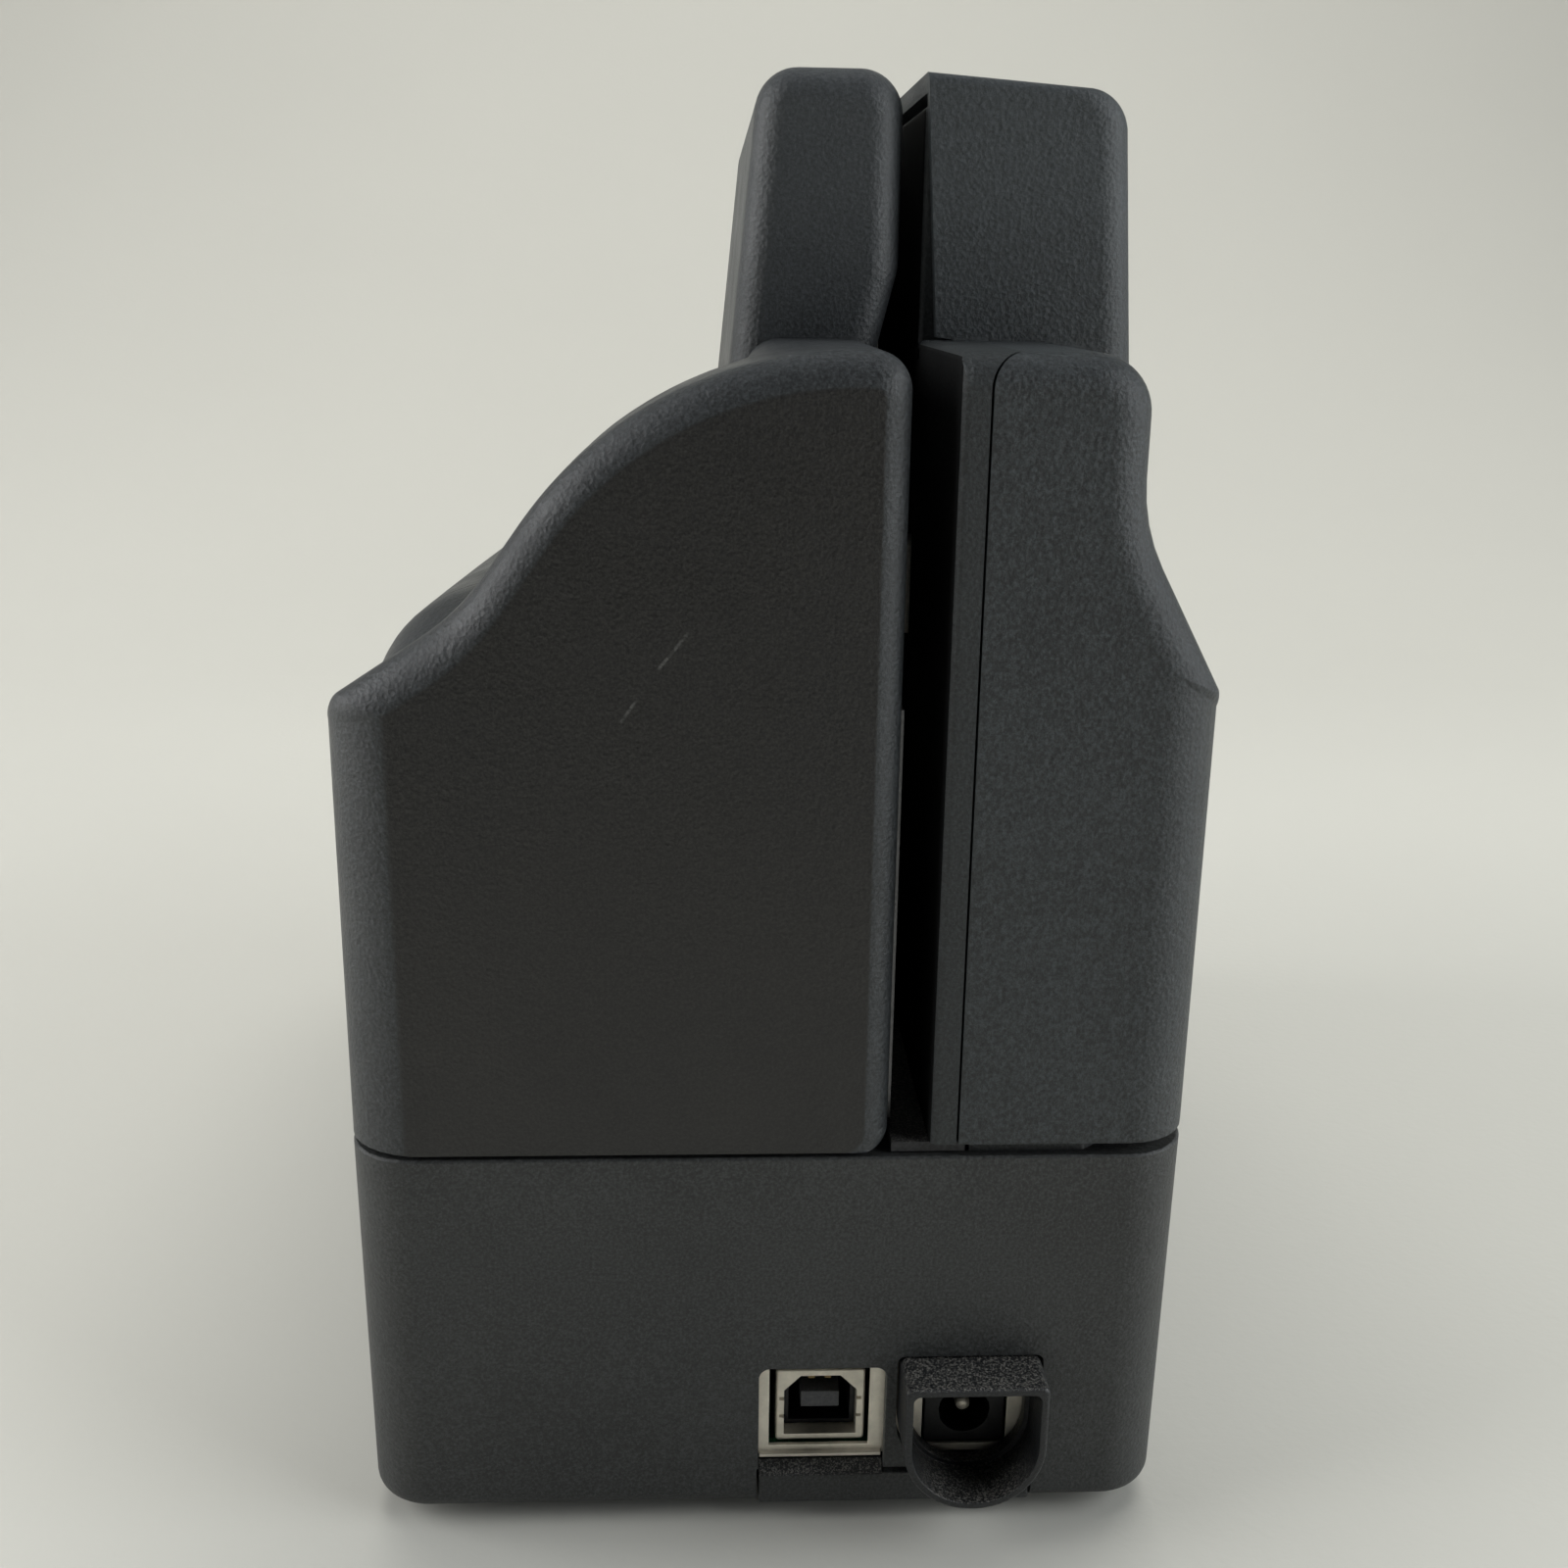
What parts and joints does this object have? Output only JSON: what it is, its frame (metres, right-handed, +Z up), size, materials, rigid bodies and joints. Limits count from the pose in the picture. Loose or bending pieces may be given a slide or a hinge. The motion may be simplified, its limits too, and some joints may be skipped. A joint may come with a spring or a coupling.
{
  "type": "desktop document scanner",
  "caption": "Desktop single-feed document scanner with an upright paper slot between a fixed casing and a swinging door, on a rounded base with data and power sockets.",
  "frame": {"origin": "centre of the bounding box in plan, power plug collar included, on the plane of the feet's undersides", "axes": "+Z up, +Y along the paper track from the connector end to the feed end, +X to the right seen from the connector end"},
  "size_m": [0.107, 0.2026, 0.1869],
  "materials": {
    "casing": "charcoal moulded plastic with a fine satin grain",
    "black_plastic": "black moulded plastic",
    "rubber": "black rubber",
    "plated_steel": "nickel plated sheet steel",
    "brass": "plain",
    "board": "green solder mask",
    "glass": "clear polished",
    "light_pipe": "translucent",
    "cradle": "green moulded plastic",
    "nylon": "natural white nylon"
  },
  "bodies": {
    "base": {"base_shell": "casing", "base_plate": "casing", "left_casing": "casing", "power_plug_collar": "casing", "rubber_foot_1": "rubber", "rubber_foot_2": "rubber", "rubber_foot_3": "rubber", "rubber_foot_4": "rubber", "base_screw_1": "plated_steel", "base_screw_2": "plated_steel", "base_screw_3": "plated_steel", "base_screw_4": "plated_steel", "main_board": "board", "port_shield": "plated_steel", "usb_socket_shell": "plated_steel", "usb_socket_insert": "black_plastic", "power_jack_body": "black_plastic", "power_jack_pin": "plated_steel", "track_floor": "black_plastic", "exit_guide_plate": "plated_steel", "door_magnet": "plated_steel", "door_hinge_post": "plated_steel", "drive_motor": "plated_steel", "motor_bracket": "plated_steel", "timing_belt": "rubber", "exit_roller_bearing": "brass", "exit_bearing_bracket": "plated_steel", "feed_roller_bearing": "brass", "feed_bearing_bracket": "plated_steel", "front_image_sensor": "black_plastic", "front_sensor_glass": "glass", "magnetic_read_head": "plated_steel", "read_head_bracket": "plated_steel", "status_light": "light_pipe", "cartridge_lid_bracket": "black_plastic", "cartridge_lid_pin": "plated_steel", "cartridge_cradle": "cradle", "ink_cartridge": "black_plastic"},
    "door": {"right_casing": "casing", "right_track_wall": "casing", "door_frame": "plated_steel", "rear_image_sensor": "black_plastic", "rear_sensor_glass": "glass", "sensor_pad_1": "rubber", "sensor_pad_2": "rubber", "exit_pinch_pivot": "plated_steel", "feed_pinch_pivot": "plated_steel", "exit_pinch_spring": "plated_steel", "feed_pinch_spring": "plated_steel"},
    "lid": {"cartridge_lid": "casing"},
    "motor_shaft": {"motor_pulley": "brass"},
    "exit_roller": {"exit_roller_shaft": "plated_steel", "exit_roller_tyres": "rubber"},
    "feed_roller": {"feed_roller_shaft": "plated_steel", "feed_roller_tyres": "rubber"},
    "exit_arm": {"exit_pinch_arm": "black_plastic"},
    "feed_arm": {"feed_pinch_arm": "black_plastic"},
    "exit_idler": {"exit_pinch_roller": "nylon"},
    "feed_idler": {"feed_pinch_roller": "nylon"}
  },
  "joints": [
    {"name": "door_swing", "type": "hinge", "parent": "base", "child": "door", "pos_m": [0.0451, 0.09285, 0.08], "axis": [0, 0, 1], "range_deg": [0, 60]},
    {"name": "lid_hinge", "type": "hinge", "parent": "base", "child": "lid", "pos_m": [-0.014, -0.01075, 0.1183], "axis": [0, 1, 0], "range_deg": [0, 75]},
    {"name": "motor_spin", "type": "hinge", "parent": "base", "child": "motor_shaft", "pos_m": [-0.02, 0.00525, 0.047], "axis": [0, 0, 1], "continuous": true},
    {"name": "exit_roller_spin", "type": "hinge", "parent": "base", "child": "exit_roller", "pos_m": [0.008, -0.04675, 0.08], "axis": [0, 0, 1], "continuous": true},
    {"name": "feed_roller_spin", "type": "hinge", "parent": "base", "child": "feed_roller", "pos_m": [0.008, 0.05325, 0.08], "axis": [0, 0, 1], "continuous": true},
    {"name": "exit_arm_pivot", "type": "hinge", "parent": "door", "child": "exit_arm", "pos_m": [0.033, -0.03175, 0.0955], "axis": [0, 0, 1], "range_deg": [0, 4], "stiffness_Nm_per_rad": 0.3, "springref_deg": -5.73},
    {"name": "feed_arm_pivot", "type": "hinge", "parent": "door", "child": "feed_arm", "pos_m": [0.033, 0.03825, 0.0955], "axis": [0, 0, -1], "range_deg": [0, 4], "stiffness_Nm_per_rad": 0.3, "springref_deg": -5.73},
    {"name": "exit_idler_spin", "type": "hinge", "parent": "exit_arm", "child": "exit_idler", "pos_m": [0.0223, -0.04675, 0.0955], "axis": [0, 0, 1], "continuous": true},
    {"name": "feed_idler_spin", "type": "hinge", "parent": "feed_arm", "child": "feed_idler", "pos_m": [0.0223, 0.05325, 0.0955], "axis": [0, 0, 1], "continuous": true}
  ],
  "couplings": [
    {"joint": "feed_roller_spin", "follows": "exit_roller_spin", "ratio": 1},
    {"joint": "motor_spin", "follows": "exit_roller_spin", "ratio": 1.6},
    {"joint": "exit_idler_spin", "follows": "exit_roller_spin", "ratio": -1.8},
    {"joint": "feed_idler_spin", "follows": "exit_roller_spin", "ratio": -1.8}
  ]
}
